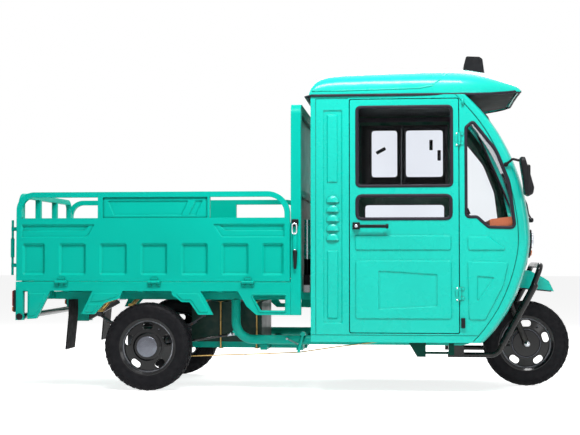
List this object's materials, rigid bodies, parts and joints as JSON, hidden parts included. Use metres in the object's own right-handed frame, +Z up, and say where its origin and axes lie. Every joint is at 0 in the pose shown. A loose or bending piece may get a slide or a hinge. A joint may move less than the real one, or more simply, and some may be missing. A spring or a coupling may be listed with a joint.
{
  "type": "three wheeled electric cargo tricycle with cab and tipping bed",
  "caption": "Cargo tricycle with a closed cab over a steered front wheel and a tipping drop-side bed over the rear axle.",
  "frame": {"origin": "on the ground at the middle of the vehicle's length and width", "axes": "+X forward, +Y to the vehicle's left, +Z up"},
  "size_m": [3.284, 1.4006, 1.9835],
  "materials": {
    "cab_paint": "gloss",
    "bed_paint": "satin",
    "frame_paint": "satin",
    "dark_paint": "satin",
    "battery_paint": "satin",
    "bright_steel": "polished",
    "zinc_steel": "passivated",
    "cast_iron": "rough",
    "tyre_rubber": "matt",
    "flap_rubber": "matt",
    "cab_glass": "clear",
    "black_plastic": "matt",
    "dash_plastic": "matt",
    "lining": "matt",
    "seat_cover": "matt"
  },
  "bodies": {
    "chassis": {"battery_box": "battery_paint", "cab_floor": "dark_paint", "cab_front": "cab_paint", "cab_rear_wall": "cab_paint", "cab_roof": "cab_paint", "cab_side_left": "cab_paint", "cab_side_right": "cab_paint", "cab_windows": "cab_glass", "chassis_frame": "bed_paint", "crash_bar": "dark_paint", "dashboard": "dash_plastic", "hydraulic_unit": "bright_steel", "leaf_springs": "dark_paint", "mirrors": "black_plastic", "mud_flaps": "flap_rubber", "rear_axle": "cast_iron", "roof_lamp": "black_plastic", "roof_lining": "battery_paint", "seat_backrest": "seat_cover", "seat_base": "dark_paint", "seat_cushion": "seat_cover", "hangers": "zinc_steel", "windscreen": "cab_glass"},
    "steering": {"front_fork": "dark_paint", "handlebar": "black_plastic", "front_mudguard": "cab_paint"},
    "front_wheel": {"front_rim": "dark_paint", "front_tyre": "tyre_rubber"},
    "rear_wheel_right": {"rear_right_rim": "dark_paint", "rear_right_tyre": "tyre_rubber"},
    "rear_wheel_left": {"rear_left_rim": "dark_paint", "rear_left_tyre": "tyre_rubber"},
    "door_right": {"door_right": "cab_paint", "door_glass_right": "cab_glass"},
    "door_left": {"door_left": "cab_paint", "door_glass_left": "cab_glass"},
    "bed": {"bed_floor": "bed_paint", "bed_rail_left": "bed_paint", "bed_rail_right": "bed_paint", "headboard": "bed_paint", "rear_bumper": "dark_paint"},
    "side_gate_right": {"side_gate_right": "bed_paint"},
    "side_gate_left": {"side_gate_left": "bed_paint"},
    "tailgate": {"tailgate": "bed_paint"},
    "ram_barrel": {"ram_barrel": "dark_paint"},
    "ram_rod": {"ram_rod": "bright_steel"}
  },
  "joints": [
    {"name": "steering_turn", "type": "hinge", "parent": "chassis", "child": "steering", "pos_m": [1.352, 0, 0.255], "axis": [-0.3746, 0, 0.9272], "range_deg": [-35, 35]},
    {"name": "front_wheel_spin", "type": "hinge", "parent": "steering", "child": "front_wheel", "pos_m": [1.387, 0, 0.255], "axis": [0, 1, 0], "continuous": true},
    {"name": "rear_wheel_right_spin", "type": "hinge", "parent": "chassis", "child": "rear_wheel_right", "pos_m": [-0.813, -0.49, 0.255], "axis": [0, 1, 0], "continuous": true},
    {"name": "rear_wheel_left_spin", "type": "hinge", "parent": "chassis", "child": "rear_wheel_left", "pos_m": [-0.813, 0.49, 0.255], "axis": [0, 1, 0], "continuous": true},
    {"name": "door_right_hinge", "type": "hinge", "parent": "chassis", "child": "door_right", "pos_m": [0.974, -0.559, 1.002], "axis": [0, 0, 1], "range_deg": [0, 75]},
    {"name": "door_left_hinge", "type": "hinge", "parent": "chassis", "child": "door_left", "pos_m": [0.974, 0.559, 1.002], "axis": [0, 0, -1], "range_deg": [0, 75]},
    {"name": "bed_tip", "type": "hinge", "parent": "chassis", "child": "bed", "pos_m": [-1.433, 0, 0.546], "axis": [0, -1, 0], "range_deg": [0, 45]},
    {"name": "side_gate_right_hinge", "type": "hinge", "parent": "bed", "child": "side_gate_right", "pos_m": [-0.768, -0.562, 0.628], "axis": [1, 0, 0], "range_deg": [0, 175]},
    {"name": "side_gate_left_hinge", "type": "hinge", "parent": "bed", "child": "side_gate_left", "pos_m": [-0.768, 0.562, 0.628], "axis": [-1, 0, 0], "range_deg": [0, 175]},
    {"name": "tailgate_hinge", "type": "hinge", "parent": "bed", "child": "tailgate", "pos_m": [-1.6, 0, 0.628], "axis": [0, -1, 0], "range_deg": [0, 90]},
    {"name": "ram_swing", "type": "hinge", "parent": "chassis", "child": "ram_barrel", "pos_m": [-1.313, 0, 0.4], "axis": [0, -1, 0], "range_deg": [0, 42]},
    {"name": "ram_slide", "type": "slide", "parent": "ram_barrel", "child": "ram_rod", "axis": [0.8738, 0, 0.4863], "range_m": [0, 0.145]}
  ],
  "couplings": [
    {"joint": "ram_swing", "follows": "bed_tip", "ratio": 0.9304},
    {"joint": "ram_slide", "follows": "bed_tip", "m_per_rad": 0.1836}
  ]
}
